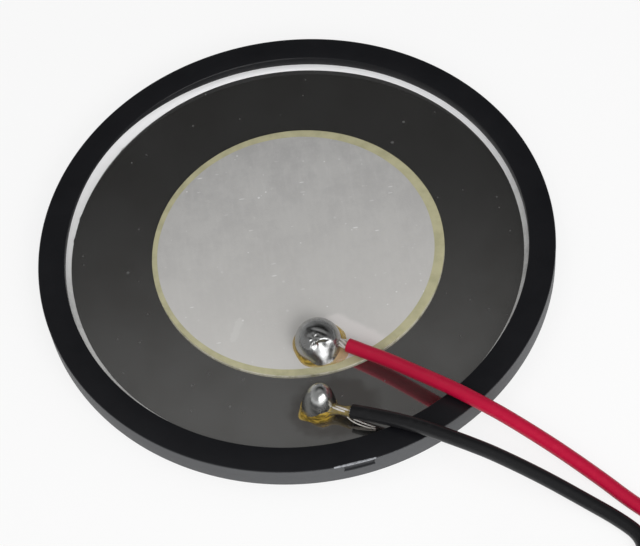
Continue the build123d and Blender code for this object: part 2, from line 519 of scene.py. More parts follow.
@dataclass(frozen=True)
class FiredSilver(Finish):
    """Fired silver paste: matt, mottled and finely specked, with a smear, a pale wash by its joint and a
    painted sheen that pales it towards the near side.
    """

    colour: Colour = (0.50, 0.495, 0.485)
    shaded: Colour = (0.44, 0.435, 0.43)
    # Painted sheen: paler colour towards the near side.
    bright: Colour = (0.66, 0.645, 0.62)
    pale: Colour = (0.62, 0.61, 0.60)
    dab: Colour = (0.66, 0.65, 0.63)
    mark: Colour = (0.90, 0.90, 0.90)
    washed: Colour = (0.76, 0.73, 0.715)
    clouds: Pattern = (0.4, 6, 0.68)
    cloud_share: Span = (0.38, 0.62)
    cloud_depth: float = 2
    grain: Pattern = (6, 4, 0.7)
    grain_share: Span = (0.55, 0.8)
    grain_strength: float = 0.45
    grain_depth: float = 0.015
    brushed: Triple = (2.6, 0.5, 1.0)
    streaks: Pattern = (1.0, 4, 0.6)
    streak_share: Span = (0.45, 0.75)
    streak_strength: float = 0.22
    painted_sheen_side: Span = (14, -16)
    bright_strength: float = 0.9
    wash_start: Triple = (2.2, -8.1, SILVER_TOP)
    wash_end: Triple = (6.0, -11.2, SILVER_TOP)
    wash_reach: Span = (1.6, 1.1)
    wash_edge: Pattern = (0.8, 3)
    wash_raggedness: float = 0.9
    wash_strength: float = 0.75
    dabs: Pattern = (0.75, 4, 0.7)
    dab_offset: Triple = (7.0, 3.0, 0)
    dab_share: Span = (0.66, 0.72)
    dab_strength: float = 0.5
    smear_start: Triple = (-5.6, -6.5, SILVER_TOP)
    smear_end: Triple = (-6.3, -8.2, SILVER_TOP)
    smear_reach: Span = (0.62, 0.45)
    smear_edge: Pattern = (2.4, 3)
    smear_raggedness: float = 0.5
    smear_strength: float = 0.8
    dashed: Triple = (0.7, 2.4, 1.0)
    dashes: Pattern = (0.8, 0.16, 0.3)
    specks: Pattern = (0.8, 0.12, 0.3)
    fine_specks: Pattern = (2.2, 0.2, 0.08)
    mark_patches: Pattern = (0.45, 2)
    mark_share: Span = (0.35, 0.65)
    mark_strength: float = 0.6
    metallic: float = 0.12
    roughness: float = 0.46
    grain_roughness: float = 0.15

    def tone(self, graph: ShaderGraph, place: Signal, clouds: Signal, grain: Signal) -> Signal:
        """The silver's own colour, before its dabs and marks.

        Args:
            graph: The material's tree.
            place: Object coordinates in millimetres.
            clouds: Broad unevenness of the paste.
            grain: Its fine grain.

        Returns:
            The colour.
        """
        streaks = graph.noise(graph.stretched(place, self.brushed), *self.streaks)
        streaks = streaks.between(*self.streak_share) * self.streak_strength
        near = graph.split(place)[1].between(*self.painted_sheen_side)
        ragged = graph.noise(place, *self.wash_edge) * self.wash_raggedness
        wash = (graph.off_line(place, self.wash_start, self.wash_end) + ragged).between(*self.wash_reach)
        colour = graph.mixed(clouds.between(*self.cloud_share), self.shaded, self.colour)
        colour = graph.mixed(streaks, colour, self.pale)
        # Painted sheen: the colour grows paler towards the near side.
        colour = graph.mixed(near * self.bright_strength, colour, self.bright)
        colour = graph.mixed(wash * self.wash_strength, colour, self.washed)
        return graph.mixed(grain.between(*self.grain_share) * self.grain_strength, colour, self.pale)

    def shade(self, graph: ShaderGraph) -> Signal:
        """Build the shader of this finish.

        Args:
            graph: The material's empty tree.

        Returns:
            The shader.
        """
        place = graph.place()
        clouds = graph.noise(place, *self.clouds)
        grain = graph.noise(place, *self.grain)
        colour = self.tone(graph, place, clouds, grain)
        dabs = graph.noise(graph.centred(place, self.dab_offset), *self.dabs).between(*self.dab_share)
        colour = graph.mixed(dabs * self.dab_strength, colour, self.dab)
        ragged = graph.noise(place, *self.smear_edge) * self.smear_raggedness
        smear = graph.off_line(place, self.smear_start, self.smear_end) + ragged
        colour = graph.mixed(smear.between(*self.smear_reach) * self.smear_strength, colour, self.dab)
        dashes = graph.specks(graph.stretched(place, self.dashed), *self.dashes)
        specks = graph.specks(place, *self.specks).maximum(graph.specks(place, *self.fine_specks))
        patches = graph.noise(place, *self.mark_patches).between(*self.mark_share)
        marks = specks.maximum(dashes) * patches
        colour = graph.mixed(marks * self.mark_strength, colour, self.mark)
        roughness = self.roughness + grain * self.grain_roughness
        relief = graph.bump(grain + clouds * self.cloud_depth, self.grain_depth)
        return graph.surface(
            Base_Color=colour, Metallic=self.metallic, Roughness=roughness, Normal=relief
        )


@dataclass(frozen=True)
class Piezoceramic(Finish):
    """Olive grey sintered ceramic, darker in patches and pale down its side."""

    colour: Colour = (0.50, 0.475, 0.295)
    deep: Colour = (0.40, 0.38, 0.23)
    edge: Colour = (0.80, 0.77, 0.64)
    edge_height: Span = (CERAMIC_HIGH.z - 0.02, CERAMIC_HIGH.z - 0.06)
    edge_pattern: Pattern = (1.5, 3)
    edge_share: Span = (0.25, 0.6)
    patches: Pattern = (0.8, 4)
    patch_share: Span = (0.35, 0.75)
    pores: Pattern = (12, 3)
    pore_depth: float = 0.01
    pore_roughness: float = 0.1
    roughness: float = 0.55

    def shade(self, graph: ShaderGraph) -> Signal:
        """Build the shader of this finish.

        Args:
            graph: The material's empty tree.

        Returns:
            The shader.
        """
        place = graph.place()
        patches = graph.noise(place, *self.patches).between(*self.patch_share)
        pores = graph.noise(place, *self.pores)
        colour = graph.mixed(patches, self.colour, self.deep)
        edge = graph.split(place)[2].between(*self.edge_height)
        edge = edge * graph.noise(place, *self.edge_pattern).between(*self.edge_share)
        colour = graph.mixed(edge, colour, self.edge)
        roughness = self.roughness + pores * self.pore_roughness
        relief = graph.bump(pores, self.pore_depth)
        return graph.surface(Base_Color=colour, Roughness=roughness, Normal=relief)


@dataclass(frozen=True)
class TinSolder(Finish):
    """Tin solder with faintly frosted patches, brighter on the joint on the plate."""

    colour: Colour = (0.49, 0.495, 0.495)
    frosted: Colour = (0.42, 0.42, 0.415)
    bright: Colour = (0.66, 0.67, 0.66)
    bright_strength: float = 0.8
    frost: Pattern = (1.1, 4, 0.6)
    frost_share: Span = (0.4, 0.7)
    frost_roughness: float = 0.07
    skin: Pattern = (14, 3)
    skin_depth: float = 0.008
    skin_roughness: float = 0.04
    roughness: float = 0.19

    def shade(self, graph: ShaderGraph) -> Signal:
        """Build the shader of this finish.

        Args:
            graph: The material's empty tree.

        Returns:
            The shader.
        """
        place = graph.place()
        skin = graph.noise(place, *self.skin)
        frost = graph.noise(place, *self.frost).between(*self.frost_share)
        colour = graph.mixed(frost, self.colour, self.frosted)
        lower = graph.split(place)[1].between(*reversed(BETWEEN_JOINTS))
        colour = graph.mixed(lower * self.bright_strength, colour, self.bright)
        relief = graph.bump(skin, self.skin_depth)
        roughness = self.roughness + frost * self.frost_roughness + skin * self.skin_roughness
        return graph.surface(Base_Color=colour, Metallic=1.0, Roughness=roughness, Normal=relief)


@dataclass(frozen=True)
class FluxResidue(Finish):
    """Clear amber resin, browner where it is thick and clearer in its thin skirt."""

    colour: Colour = (0.62, 0.40, 0.045)
    deep: Colour = (0.19, 0.125, 0.006)
    olive: Colour = (0.20, 0.165, 0.075)
    thin: Colour = (0.70, 0.50, 0.13)
    pink: Colour = (0.72, 0.50, 0.30)
    step_up: float = SILVER_TOP - PLATE_TOP
    thick_height: Span = (PLATE_TOP + 0.02, PLATE_TOP + 0.10)
    olive_side: Span = (0.4, 0.9)
    olive_strength: float = 0.75
    pink_side: Span = (1.2, 2.0)
    pink_front: Span = (10.2, 10.9)
    pink_strength: float = 0.85
    layered: Triple = (0.8, 0.8, 3.0)
    patches: Pattern = (2.0, 4)
    deep_share: Span = (0.4, 0.56)
    cloudy_share: Span = (0.3, 0.7)
    ripple_depth: float = 0.22
    alpha: float = 0.33
    cloudy_alpha: float = 0.15
    thick_alpha: float = 0.45
    roughness: float = 0.08
    coat: float = 0.8
    ior: float = 1.52

    def shade(self, graph: ShaderGraph) -> Signal:
        """Build the shader of this finish.

        Args:
            graph: The material's empty tree.

        Returns:
            The shader.
        """
        place = graph.place()
        patches = graph.noise(graph.stretched(place, self.layered), *self.patches)
        x, y, z = graph.split(place)
        upper = y.between(*BETWEEN_JOINTS)
        pink = x.between(*self.pink_side) * (y * -1).between(*self.pink_front) * upper
        thick = (z - upper * self.step_up).between(*self.thick_height)
        olive = x.between(*self.olive_side) * (1 - upper)
        colour = graph.mixed(patches.between(*self.deep_share), self.colour, self.deep)
        colour = graph.mixed(olive * self.olive_strength, colour, self.olive)
        colour = graph.mixed(thick, self.thin, colour)
        colour = graph.mixed(pink * self.pink_strength, colour, self.pink)
        alpha = patches.between(*self.cloudy_share) * self.cloudy_alpha + thick * self.thick_alpha
        return graph.surface(
            Base_Color=colour,
            Roughness=self.roughness,
            Alpha=alpha + self.alpha,
            Normal=graph.bump(patches, self.ripple_depth),
            Coat_Weight=self.coat,
            IOR=self.ior,
        )


@dataclass(frozen=True)
class TinnedCopper(Finish):
    """Tinned copper strand."""

    colour: Colour = (0.84, 0.82, 0.79)
    bare: Colour = (0.68, 0.62, 0.54)
    streaks: Pattern = (6, 3)
    streak_share: Span = (0.4, 0.7)
    streak_roughness: float = 0.12
    roughness: float = 0.2
    metallic: float = 0.35

    def shade(self, graph: ShaderGraph) -> Signal:
        """Build the shader of this finish.

        Args:
            graph: The material's empty tree.

        Returns:
            The shader.
        """
        streaks = graph.noise(graph.place(), *self.streaks)
        colour = graph.mixed(streaks.between(*self.streak_share), self.colour, self.bare)
        roughness = self.roughness + streaks * self.streak_roughness
        return graph.surface(Base_Color=colour, Metallic=self.metallic, Roughness=roughness)


@dataclass(frozen=True)
class Vinyl(Finish):
    """Soft vinyl insulation with a satin skin."""

    colour: Colour = (0.44, 0.002, 0.034)
    scuffed: Colour = (0.50, 0.012, 0.05)
    roughness: float = 0.36
    scuffs: Pattern = (1.6, 5, 0.65)
    scuff_share: Span = (0.5, 0.8)
    scuff_strength: float = 0.6
    scuff_roughness: float = 0.14
    skin: Pattern = (11, 2)
    skin_depth: float = 0.008
    ior: float = 1.38

    def shade(self, graph: ShaderGraph) -> Signal:
        """Build the shader of this finish.

        Args:
            graph: The material's empty tree.

        Returns:
            The shader.
        """
        place = graph.place()
        scuffs = graph.noise(place, *self.scuffs).between(*self.scuff_share)
        colour = graph.mixed(scuffs * self.scuff_strength, self.colour, self.scuffed)
        relief = graph.bump(graph.noise(place, *self.skin), self.skin_depth)
        roughness = self.roughness + scuffs * self.scuff_roughness
        return graph.surface(Base_Color=colour, Roughness=roughness, Normal=relief, IOR=self.ior)


@dataclass(frozen=True)
class PaleFloor(Finish):
    """Pale floor that the camera and mirrors see near white, with the object's shadow kept."""

    colour: Colour = (0.93, 0.93, 0.93)
    lift: float = 0.8

    def shade(self, graph: ShaderGraph) -> Signal:
        """Build the shader of this finish.

        Args:
            graph: The material's empty tree.

        Returns:
            The shader.
        """
        rays = graph.node("ShaderNodeLightPath", {}, {})
        seen = rays["Is Camera Ray"].maximum(rays["Is Glossy Ray"]).maximum(rays["Is Transmission Ray"])
        matt = graph.surface(Base_Color=self.colour, Roughness=0.9)
        glow = graph.node("ShaderNodeEmission", {}, {"Color": (1, 1, 1, 1), "Strength": 1.0})[0]
        return graph.node("ShaderNodeMixShader", {}, {0: seen * self.lift, 1: matt, 2: glow})[0]


class Coat(Enum):
    """The finishes of this object."""

    RING = MouldedBlack("ring_plastic", "ring")
    PLATE = RolledSteel("plate_steel", "plate")
    BEAD = Silicone("bead_silicone", "adhesive")
    CEMENT = Piezoceramic("cement_epoxy", "cement", (0.30, 0.26, 0.15), (0.2, 0.17, 0.09))
    CERAMIC = Piezoceramic("disc_ceramic", "ceramic")
    SILVER = FiredSilver("electrode_silver", "electrode")
    SOLDER = TinSolder("joint_solder", "solder")
    FLUX = FluxResidue("joint_flux", "flux")
    STRAND = TinnedCopper("lead_strand", "strands")
    RED = Vinyl("red_vinyl", "red_insulation")
    BLACK = Vinyl("black_vinyl", "black_insulation", (0.010, 0.010, 0.011), (0.02, 0.02, 0.021), 0.3)
    FLOOR = PaleFloor("pale_floor", "")


def dress_node(node: str, coat: Coat) -> None:
    """Give a CAD node its finish.

    Args:
        node: The node's name.
        coat: Its finish.
    """
    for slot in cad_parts[node].material_slots:
        slot.material = coat.value.material()
    LOG.info("dressed %s", node)


def place_piece(piece: bpy.types.Object, coat: Coat, *nodes: str) -> None:
    """Finish a piece, ride it on the object's body and let it stand for CAD nodes.

    Args:
        piece: The finished piece.
        coat: Its finish.
        nodes: The CAD nodes that it replaces.
    """
    if not piece.data.materials:
        piece.data.materials.append(coat.value.material())
    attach(piece, BODY)
    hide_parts(*nodes)
    LOG.info("piece %s", piece.name)


def linked(name: str, data: bpy.types.ID) -> bpy.types.Object:
    """New object of some data, in the scene and at the origin.

    Args:
        name: The object's name.
        data: Its mesh, curve, lamp or camera data.

    Returns:
        The object.
    """
    made = bpy.data.objects.new(name, data)
    bpy.context.scene.collection.objects.link(made)
    return made


def mesh_piece(
    name: str, points: Sequence[Vector], faces: Sequence[tuple[int, ...]], crease: float = 40.0
) -> bpy.types.Object:
    """Smooth mesh from points in millimetres, with its faces turned outwards.

    Args:
        name: The piece's name.
        points: Its points.
        faces: Corner numbers of its faces.
        crease: Angle in degrees past which an edge is sharp.

    Returns:
        The new object, at the origin.
    """
    mesh = bpy.data.meshes.new(name)
    mesh.from_pydata([point * MM for point in points], [], faces)
    work = bmesh.new()
    work.from_mesh(mesh)
    bmesh.ops.recalc_face_normals(work, faces=work.faces)
    work.to_mesh(mesh)
    work.free()
    mesh.shade_smooth()
    mesh.set_sharp_from_angle(angle=math.radians(crease))
    return linked(name, mesh)


def merged(first: bpy.types.Object, second: bpy.types.Object) -> bpy.types.Object:
    """Put a second piece's mesh into the first one's and remove the second piece.

    Args:
        first: The piece that stays.
        second: The piece that goes into it.

    Returns:
        The first piece.
    """
    work = bmesh.new()
    for piece in (first, second):
        work.from_mesh(piece.data)
    work.to_mesh(first.data)
    work.free()
    bpy.data.objects.remove(second)
    return first


def turned(
    name: str,
    section: Callable[[float], Section],
    steps: int,
    centre: tuple[float, float] = (0.0, 0.0),
    open_middle: bool = False,
    relief: Callable[[Vector], Vector] = lambda point: point,
    crease: float = 60.0,
) -> bpy.types.Object:
    """Mesh turned round a vertical axis, whose section may change with the angle.

    Args:
        name: The piece's name.
        section: Gives radius and height of the section's points at an angle.
        steps: Points round the axis.
        centre: Where the axis stands.
        open_middle: True where the section closes on itself and the middle stays open. Otherwise
            its first and last points lie on the axis.
        relief: Moves a finished point.
        crease: Angle in degrees past which an edge is sharp.

    Returns:
        The new object.
    """
    axis = Vector((*centre, 0))
    rows = []
    for step in range(steps):
        angle = 2 * math.pi * step / steps
        spoke = Vector((math.cos(angle), math.sin(angle), 0))
        rows.append([relief(axis + spoke * r + Vector((0, 0, z))) for r, z in section(angle)])
    faces = []
    if open_middle:
        width = len(rows[0])
        for step in range(steps):
            here, there = step * width, (step + 1) % steps * width
            for i in range(width):
                j = (i + 1) % width
                faces.append((here + i, there + i, there + j, here + j))
        return mesh_piece(name, [point for row in rows for point in row], faces, crease)
    width = len(rows[0]) - 2
    points = [point for row in rows for point in row[1:-1]] + [rows[0][0], rows[0][-1]]
    first, last = len(points) - 2, len(points) - 1
    for step in range(steps):
        here, there = step * width, (step + 1) % steps * width
        faces.append((first, there, here))
        faces.append((last, here + width - 1, there + width - 1))
        for i in range(width - 1):
            faces.append((here + i, there + i, there + i + 1, here + i + 1))
    return mesh_piece(name, points, faces, crease)


def clamp(value: float) -> float:
    """A number held between 0 and 1."""
    return min(1.0, max(0.0, value))


class Wave(NamedTuple):
    """Smooth closed unevenness round a circle, the sum of so many harmonics."""

    size: float
    seed: int
    count: int

    def at(self, angle: float) -> float:
        """Its height at an angle.

        Args:
            angle: Where round the circle, in radians.

        Returns:
            The height, about from minus to plus its size.
        """
        draw = random.Random(self.seed)
        total = 0.0
        for k in range(1, self.count + 1):
            total += draw.uniform(-1, 1) * math.cos(k * angle + draw.uniform(0, 2 * math.pi)) / k**0.5
        return self.size * total / self.count**0.5


def degrees_off(angle: float, towards: float) -> float:
    """Degrees from a bearing in degrees to an angle in radians, from -180 to 180."""
    return (math.degrees(angle) - towards + 180) % 360 - 180


class Hump(NamedTuple):
    """Smooth hump round a circle, given by its bearing and half width in degrees."""

    towards: float
    width: float

    def at(self, angle: float) -> float:
        """Its height at an angle in radians, 1 at its bearing."""
        return math.exp(-((degrees_off(angle, self.towards) / self.width) ** 2))


@dataclass
class RingAndPlate:
    """Moulded ring with its gate recess, the plate seated in it, and the silicone in the corner."""

    ring_steps: int = 1080
    ring_radius: float = RING_HIGH.x
    ring_height: float = RING_HIGH.z
    opening_radius: float = BEAD_HIGH.x
    rebate_radius: float = PLATE_HIGH.x + 0.15
    lip_underside: float = BOND_TOP
    outer_round: float = 0.12
    lip_round: float = 0.08
    round_steps: int = 4
    gate_bearing: float = -84.0
    gate_width: float = 2.5
    gate_bottom: float = 1.32
    gate_top: float = 2.08
    gate_depth: float = 0.2
    gate_slope: float = 0.01
    bead_steps: int = 360
    bead_width: float = 0.48
    bead_rise: float = BEAD_HIGH.z - BEAD_LOW.z
    bead_gap: float = 0.002
    bead_swell: float = 0.10
    bead_rows: int = 8
    bead_wave: Wave = Wave(0.10, 11, 9)
    bead_ripple: Wave = Wave(0.08, 12, 40)
    even_width: float = 0.92
    wide_bearing: float = 150.0
    wide_share: float = 0.1
    thin_side: Hump = Hump(172.0, 16.0)
    thin_share: float = 0.14
    crest: float = 0.93
    crest_wave: Wave = Wave(0.06, 13, 30)
    climb: float = 0.6
    climb_side: Hump = Hump(143.0, 26.0)
    nicks: tuple[Hump, ...] = (Hump(159.7, 0.6), Hump(166.7, 0.6), Hump(136.0, 0.6))
    nick_share: float = 0.16

    def rounded(self, corner: tuple[float, float], radius: float, start: float) -> Section:
        """Quarter round at a corner of a section.

        Args:
            corner: Radius and height of the middle of the round.
            radius: Its radius.
            start: Direction of its first point, in degrees. It turns right by a quarter.

        Returns:
            Radius and height of each point.
        """
        steps = self.round_steps
        turns = [math.radians(start - 90 * i / steps) for i in range(steps + 1)]
        return [(corner[0] + radius * math.cos(t), corner[1] + radius * math.sin(t)) for t in turns]

    def ring_section(self, angle: float) -> Section:
        """Section of the ring at an angle, flattened where the gate was cut off.

        Args:
            angle: Angle round the ring, in radians.

        Returns:
            Radius and height of each point.
        """
        lip, outer, top, side = self.lip_round, self.outer_round, self.ring_height, self.ring_radius
        off = math.radians(degrees_off(angle, self.gate_bearing))
        at_gate = abs(side * off) < self.gate_width / 2
        cut = (side - self.gate_depth) / math.cos(off) if at_gate else side
        rows = [(self.opening_radius, self.lip_underside)]
        rows += self.rounded((self.opening_radius + lip, top - lip), lip, 180)
        rows += self.rounded((side - outer, top - outer), outer, 90)
        rows += [(cut, self.gate_top - self.gate_slope), (cut, self.gate_bottom + self.gate_slope)]
        rows += [(side, self.gate_bottom)]
        rows += self.rounded((side - outer, outer), outer, 0)
        rows += [(self.rebate_radius, TABLE), (self.rebate_radius, self.lip_underside)]
        return rows

    def bead_section(self, angle: float) -> Section:
        """Section of the bead at an angle, climbing the wall at the far left and cut by small nicks.

        Args:
            angle: Angle round the ring, in radians.

        Returns:
            Radius and height of each point.
        """
        from_widest = angle - math.radians(self.wide_bearing)
        width = self.bead_width * (self.even_width + self.wide_share * math.cos(from_widest))
        width *= 1 + self.bead_wave.at(angle) + self.bead_ripple.at(angle)
        width *= 1 - self.thin_share * self.thin_side.at(angle)
        for nick in self.nicks:
            width *= 1 - self.nick_share * nick.at(angle)
        rise = self.bead_rise * min(1.0, self.crest + self.crest_wave.at(angle))
        rise += self.climb * self.climb_side.at(angle)
        outer = self.opening_radius - self.bead_gap
        low = PLATE_TOP + HAIR
        rows = [(outer, low)]
        for i in range(self.bead_rows + 1):
            share = i / self.bead_rows
            swell = self.bead_swell * width * math.sin(math.pi * share)
            rows.append((outer - width * (1 - share) - swell, low + rise * share + swell * 0.6))
        return rows

    def build(self) -> None:
        """Make the ring and the bead, and dress the CAD nodes."""
        ring = turned("moulded_ring", self.ring_section, self.ring_steps, open_middle=True, crease=35.0)
        place_piece(ring, Coat.RING, "frame_ring")
        bead = turned("silicone_bead", self.bead_section, self.bead_steps, open_middle=True)
        place_piece(bead, Coat.BEAD, "adhesive_bead")
        dress_node("diaphragm_plate", Coat.PLATE)
        dress_node("plate_bond", Coat.BEAD)


class Layer(NamedTuple):
    """One thin disc of the stack on the plate."""

    low: Vector
    high: Vector
    edge_radius: float
    outline: Wave
    edge_steps: int = 4

    def section(self, angle: float) -> Section:
        """Section of the disc at an angle, with a rounded top edge and a wavy outline.

        Args:
            angle: Angle round the disc, in radians.

        Returns:
            Radius and height of each point.
        """
        radius = (self.high.x - self.low.x) / 2
        low, high, edge = self.low.z, self.high.z, self.edge_radius
        rim = radius - abs(self.outline.at(angle))
        rows = [(0, low), (rim * 0.5, low), (rim, low)]
        for i in range(self.edge_steps + 1):
            turn = math.radians(90 * i / self.edge_steps)
            rows.append((rim - edge + edge * math.cos(turn), high - edge + edge * math.sin(turn)))
        rows += [(rim * 0.66, high), (rim * 0.33, high), (0, high)]
        return rows

    def turned(self, name: str, steps: int) -> bpy.types.Object:
        """The disc's mesh.

        Args:
            name: The piece's name.
            steps: Points round it.

        Returns:
            The new object.
        """
        middle = (self.low + self.high) / 2
        return turned(name, self.section, steps, (middle.x, middle.y))


@dataclass
class PiezoDisc:
    """Ceramic disc with its silvered face, cemented to the plate."""

    steps: int = 288
    ceramic: Layer = Layer(CERAMIC_LOW, CERAMIC_HIGH, 0.05, Wave(0.02, 21, 24))
    silver: Layer = Layer(SILVER_LOW, SILVER_HIGH, 0.006, Wave(0.035, 22, 24))

    def build(self) -> None:
        """Make the disc and its silvered face, and dress the layers under it."""
        place_piece(self.ceramic.turned("ceramic_wafer", self.steps), Coat.CERAMIC, "ceramic_disc")
        place_piece(self.silver.turned("silver_face", self.steps), Coat.SILVER, "upper_electrode")
        dress_node("ceramic_bond", Coat.CEMENT)
        dress_node("lower_electrode", Coat.SILVER)


class Lobe(NamedTuple):
    """Side on which flux ran out further or stands higher."""

    side: Hump
    reach: float
    rise: float


@dataclass
class SolderDome:
    """Dome of solder on the silvered face, puckered where it set last, with flux round its foot."""

    centre: tuple[float, float] = (0.6, -9.9)
    radius: float = 1.92
    middle_height: float = 0.5
    steps: int = 160
    rings: int = 56
    base: float = SILVER_TOP
    sole_gap: float = 0.0005
    toe_reach: float = 0.08
    toe_wave: Wave = Wave(0.048, 31, 5)
    toe_height: float = 0.3
    toe_curve: float = 1.6
    bulge_angle: float = 0.4
    straight_side: Hump = Hump(-80.0, 32.0)
    straight_toe: float = 2.14
    straight_slope: float = 0.70
    straight_rise: float = 2.25
    straight_blend: float = 0.5
    smooth_foot: float = 0.05
    skin_low: float = 1.0
    skin_blend: float = 0.8
    pucker_place: tuple[float, float] = (-0.34, -0.75)
    pucker_radius: float = 0.4
    pucker_depth: float = 0.13
    fold_depth: float = 0.045
    fold_count: int = 6
    fold_twist: float = 5.0
    fold_radius: float = 0.3
    fold_width: float = 0.22
    crease_ends: tuple[tuple[float, float], tuple[float, float]] = ((-0.62, 0.14), (1.10, -0.72))
    crease_depth: float = 0.06
    crease_width: float = 0.16
    crease_least: float = 0.25
    crinkle: float = 0.008
    crinkle_scale: float = 2.2
    crinkle_offset: Triple = (3, 7, 1)
    flux_gap: float = 0.0006
    flux_reach: float = 0.17
    flux_wave: Wave = Wave(0.06, 33, 6)
    flux_near_reach: float = -0.14
    flux_least_reach: float = 0.05
    flux_height: float = 0.1
    flux_left: Lobe = Lobe(Hump(-126, 24), 0.24, 0.44)
    flux_right: Lobe = Lobe(Hump(48, 38), 0.15, 0.40)
    flux_front: Lobe = Lobe(Hump(-38, 26), 0.62, 0.10)
    flux_corner: Lobe = Lobe(Hump(12, 20), 0.22, 0.0)
    flux_near_lower: float = 0.75
    flux_corner_lower: float = 0.6
    flux_film: float = 0.02
    flux_inside: float = 0.3
    flux_lean: float = 0.22
    flux_rows: int = 8

    def toe(self, angle: float) -> float:
        """Radius at which the solder meets the silver.

        Args:
            angle: Angle round the joint, in radians.

        Returns:
            The radius.
        """
        foot = math.sqrt(self.radius**2 - self.middle_height**2)
        plain = foot + self.toe_reach + self.toe_wave.at(angle)
        return plain + (self.straight_toe - plain) * self.straight_side.at(angle)

    def section(self, angle: float) -> Section:
        """Section of the dome at an angle, from its top to its underside, straighter on the near side.

        Args:
            angle: Angle round the joint, in radians.

        Returns:
            Radius and height of each point.
        """
        rows = []
        toe, near = self.toe(angle), self.straight_side.at(angle)
        lowest = math.pi - math.acos(self.middle_height / self.radius)
        spread = (toe - self.radius * math.sin(lowest)) * (1 - near)
        for i in range(self.rings + 1):
            lean = lowest * i / self.rings
            reach = self.radius * math.sin(lean)
            rise = max(0.0, self.middle_height + self.radius * math.cos(lean))
            if lean > self.bulge_angle:
                straight = min(self.straight_toe - self.straight_slope * rise, self.straight_toe)
                held = clamp((self.straight_rise - rise) / self.straight_blend)
                reach += (straight - reach) * near * held
                reach += spread * max(0.0, 1 - rise / self.toe_height) ** self.toe_curve
            rows.append((reach, self.base + rise + HAIR))
        rows += [(toe * 0.6, self.base + self.sole_gap), (0, self.base + self.sole_gap)]
        return rows

    def relief(self, point: Vector) -> Vector:
        """Sink the pucker, fold the skin round it, press the crease in and roughen the dome a little.

        Args:
            point: A point of the plain dome.

        Returns:
            The moved point.
        """
        if point.z < self.base + self.smooth_foot:
            return point
        flat = Vector((point.x - self.centre[0], point.y - self.centre[1]))
        high = clamp((point.z - self.base - self.skin_low) / self.skin_blend)
        from_pucker = flat - Vector(self.pucker_place)
        apart = from_pucker.length
        sink = self.pucker_depth * math.exp(-((apart / self.pucker_radius) ** 2))
        turn = math.atan2(from_pucker.y, from_pucker.x)
        folds = self.fold_depth * math.sin(self.fold_count * turn + self.fold_twist * apart)
        fold = folds * math.exp(-(((apart - self.fold_radius) / self.fold_width) ** 2))
        start, end = (Vector(corner) for corner in self.crease_ends)
        run = end - start
        share = clamp((flat - start).dot(run) / run.length_squared)
        off = (flat - start - run * share).length
        fade = self.crease_least + math.sin(math.pi * (0.12 + share * 0.88))
        crease = self.crease_depth * fade * math.exp(-((off / self.crease_width) ** 2))
        crinkle = noise.noise(point * self.crinkle_scale + Vector(self.crinkle_offset)) * self.crinkle
        outwards = Vector((*flat, point.z - self.base - self.middle_height)).normalized()
        return point + outwards * ((fold - sink - crease) * high + crinkle)

    def flux_section(self, angle: float) -> Section:
        """Section of the flux round the foot at an angle.

        Args:
            angle: Angle round the joint, in radians.

        Returns:
            Radius and height of each point.
        """
        toe, near = self.toe(angle), self.straight_side.at(angle)
        width = self.flux_reach + self.flux_wave.at(angle) + self.flux_near_reach * near
        height = self.flux_height
        for lobe in (self.flux_left, self.flux_right, self.flux_front, self.flux_corner):
            width += lobe.reach * lobe.side.at(angle)
            height += lobe.rise * lobe.side.at(angle)
        width = max(self.flux_least_reach, width)
        height *= 1 - self.flux_near_lower * near
        height *= 1 - self.flux_corner_lower * self.flux_corner.side.at(angle)
        low = self.base + self.flux_gap
        rows = [(toe - self.flux_inside, low), (toe + width, low)]
        for i in range(1, self.flux_rows + 1):
            share = i / self.flux_rows
            reach = toe + width * (1 - share) - self.flux_lean * share
            rows.append((reach, self.base + self.flux_film + height * share**self.toe_curve))
        return rows

    def build(self) -> None:
        """Make the dome and its flux."""
        dome = turned("positive_solder", self.section, self.steps, self.centre, False, self.relief, 80.0)
        place_piece(dome, Coat.SOLDER, "positive_solder_joint")
        flux = turned("positive_flux_skin", self.flux_section, self.steps, self.centre, True, crease=80.0)
        place_piece(flux, Coat.FLUX, "positive_flux")


